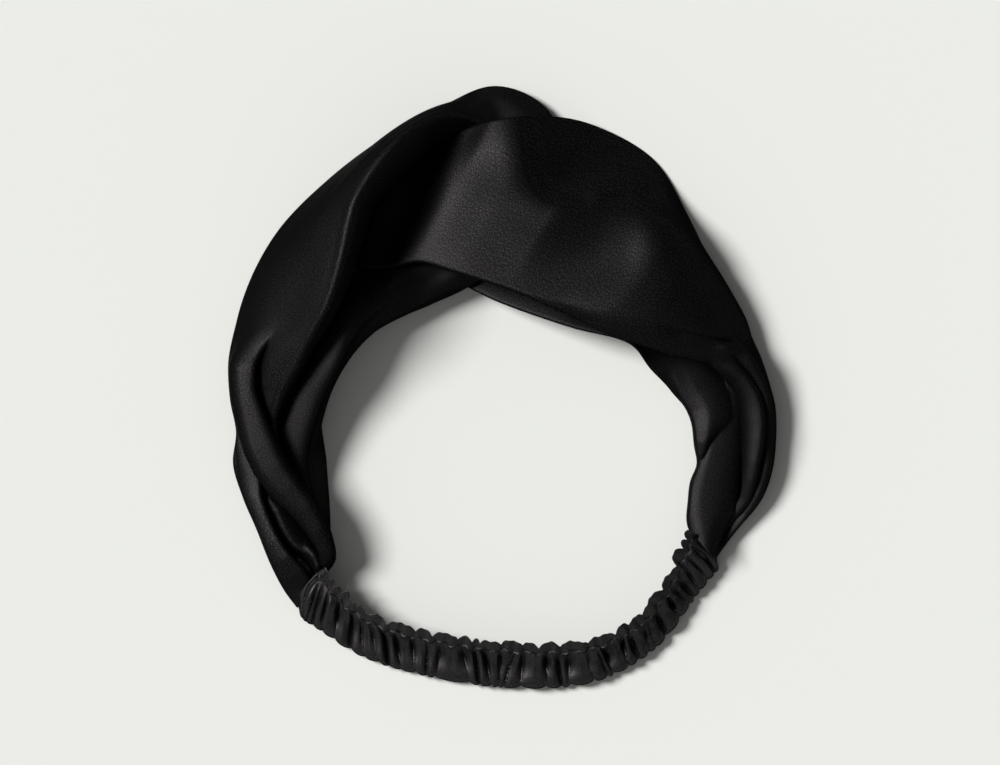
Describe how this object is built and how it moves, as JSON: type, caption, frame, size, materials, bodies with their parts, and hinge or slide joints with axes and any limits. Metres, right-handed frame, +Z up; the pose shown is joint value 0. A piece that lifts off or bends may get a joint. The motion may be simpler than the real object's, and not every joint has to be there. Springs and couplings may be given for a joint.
{
  "type": "cross headband",
  "caption": "Satin headband whose wide folded wraps interlock in a cross knot at the front, with a gathered elastic casing that closes the loop behind the head.",
  "frame": {"origin": "on the surface the band lies on, under the middle of the loop", "axes": "+Z up from the surface, +Y towards the front knot, +X to the wearer's right"},
  "size_m": [0.1832, 0.2005, 0.0458],
  "materials": {
    "wrap_satin": "black satin, smooth with a soft sheen",
    "casing_satin": "black satin gathered over elastic"
  },
  "bodies": {
    "root": {"left_wrap": "wrap_satin", "right_wrap": "wrap_satin", "elastic_casing": "casing_satin"}
  },
  "joints": []
}
